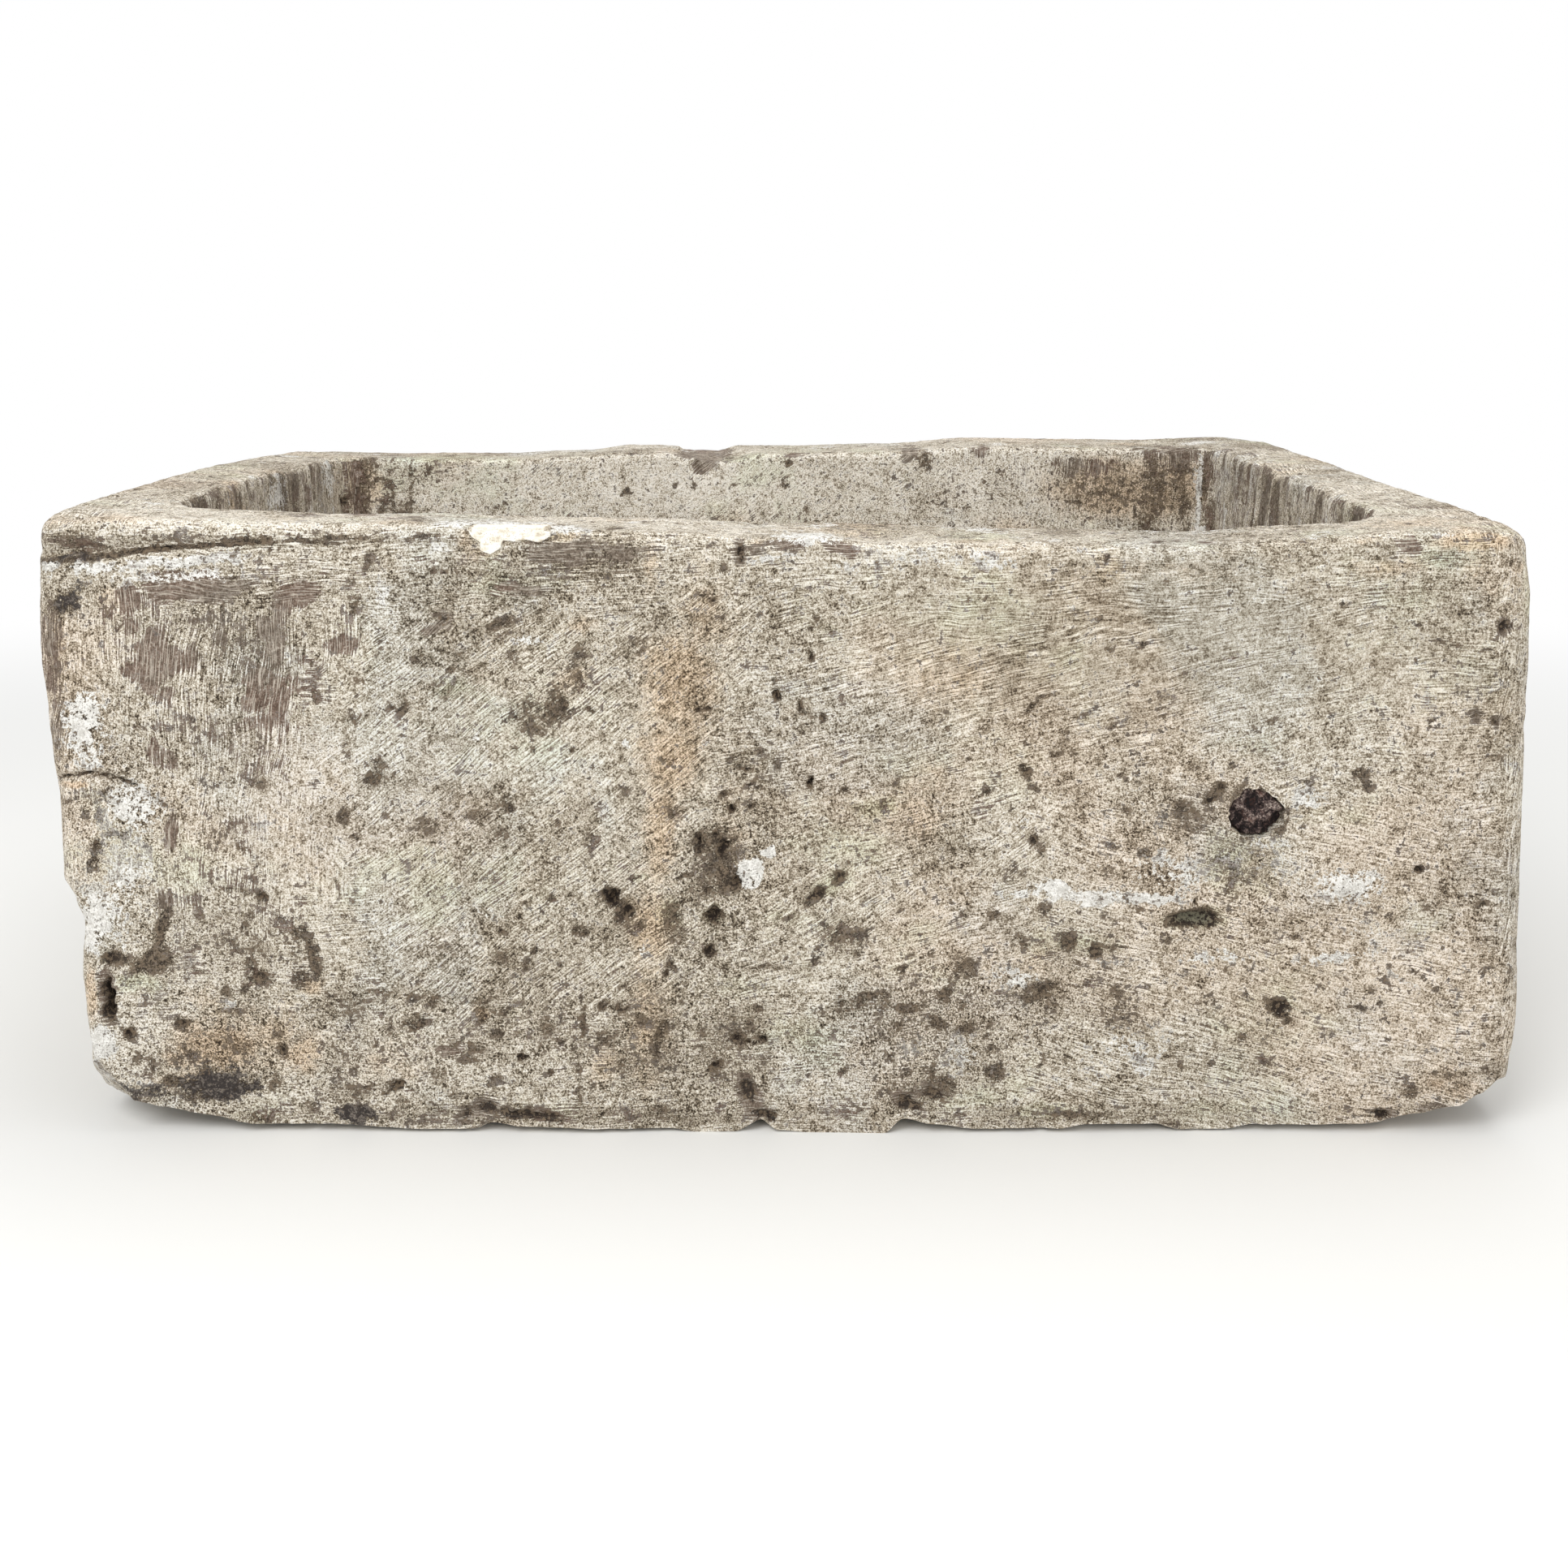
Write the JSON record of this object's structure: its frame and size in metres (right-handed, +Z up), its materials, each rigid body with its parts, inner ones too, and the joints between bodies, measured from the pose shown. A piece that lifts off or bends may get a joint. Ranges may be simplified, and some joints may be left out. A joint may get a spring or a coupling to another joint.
{
  "type": "stone trough planter",
  "caption": "Hand-cut rectangular stone trough with a deep planting hollow, worn rim, a filled side outlet and a drained floor.",
  "frame": {"origin": "on the ground, under the middle of the block's outline box", "axes": "+X along the length, to the right as seen from the front; -Y out of the front face with the filled outlet; +Z up"},
  "size_m": [0.9786, 0.614, 0.4187],
  "materials": {
    "limewashed_stone": "hand-cut matt stone under a brushed, worn limewash with brown and olive stone showing through",
    "dark_fill": "matt purple-brown crust of old mortar and iron scale",
    "lime_filler": "smooth cream lime filler, slightly chalky"
  },
  "bodies": {
    "root": {"trough_body": "limewashed_stone", "outlet_plug": "dark_fill", "rim_filler": "lime_filler"}
  },
  "joints": []
}
